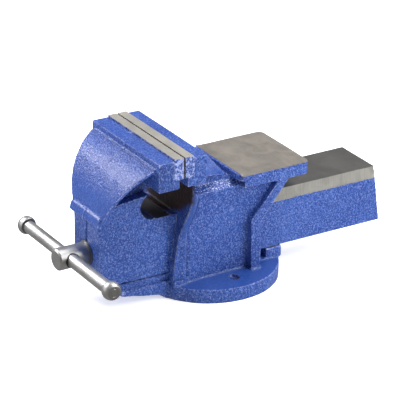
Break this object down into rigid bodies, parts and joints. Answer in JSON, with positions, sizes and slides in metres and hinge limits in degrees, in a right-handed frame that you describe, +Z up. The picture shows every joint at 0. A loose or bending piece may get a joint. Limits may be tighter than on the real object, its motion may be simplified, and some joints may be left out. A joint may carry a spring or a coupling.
{
  "type": "bench vise",
  "caption": "Bench vise with a fixed round base, box slide, curved front jaw, replaceable jaw plates, flat anvil and a sliding bar handle.",
  "frame": {"origin": "centre of the round base's underside, between the two bench bolt holes", "axes": "+Z up, +Y from the handle towards the free end of the slide, +X to the right when seen from the handle"},
  "size_m": [0.2112, 0.4103, 0.186],
  "materials": {
    "blue_paint": "hammered blue enamel on cast iron, machined bare on the slide, the anvil and the bearing faces",
    "ground_steel": "hardened steel, ground tops and serrated faces",
    "bright_steel": "turned and polished steel",
    "zinc_steel": "zinc plated",
    "black_steel": "blackened steel",
    "spring_steel": "oiled spring steel",
    "nut_iron": "bare cast iron, oiled"
  },
  "bodies": {
    "base": {"fixed_body": "blue_paint", "fixed_jaw_plate": "ground_steel", "fixed_plate_screw_left": "black_steel", "fixed_plate_screw_right": "black_steel", "spindle_nut": "nut_iron", "nut_bolt_front": "zinc_steel", "nut_bolt_rear": "zinc_steel", "nut_washer_front": "zinc_steel", "nut_washer_rear": "zinc_steel"},
    "jaw": {"moving_jaw": "blue_paint", "moving_jaw_plate": "ground_steel", "moving_plate_screw_left": "black_steel", "moving_plate_screw_right": "black_steel"},
    "screw": {"lead_screw": "bright_steel", "thrust_washer": "bright_steel", "spring_washer_front": "zinc_steel", "spring_washer_rear": "zinc_steel", "thrust_spring": "spring_steel", "retaining_collar": "zinc_steel", "collar_pin": "spring_steel"},
    "handle": {"handle_bar": "bright_steel", "handle_knob_left": "bright_steel", "handle_knob_right": "bright_steel"}
  },
  "joints": [
    {"name": "jaw_slide", "type": "slide", "parent": "base", "child": "jaw", "axis": [0, -1, 0], "range_m": [0, 0.15]},
    {"name": "screw_turn", "type": "hinge", "parent": "jaw", "child": "screw", "pos_m": [0, -0.1805, 0.0623], "axis": [0, -1, 0], "range_deg": [0, 13501]},
    {"name": "handle_slide", "type": "slide", "parent": "screw", "child": "handle", "axis": [1, 0, 0], "range_m": [-0.077, 0.077]}
  ],
  "couplings": [
    {"joint": "screw_turn", "follows": "jaw_slide", "rad_per_m": 1570.8}
  ]
}
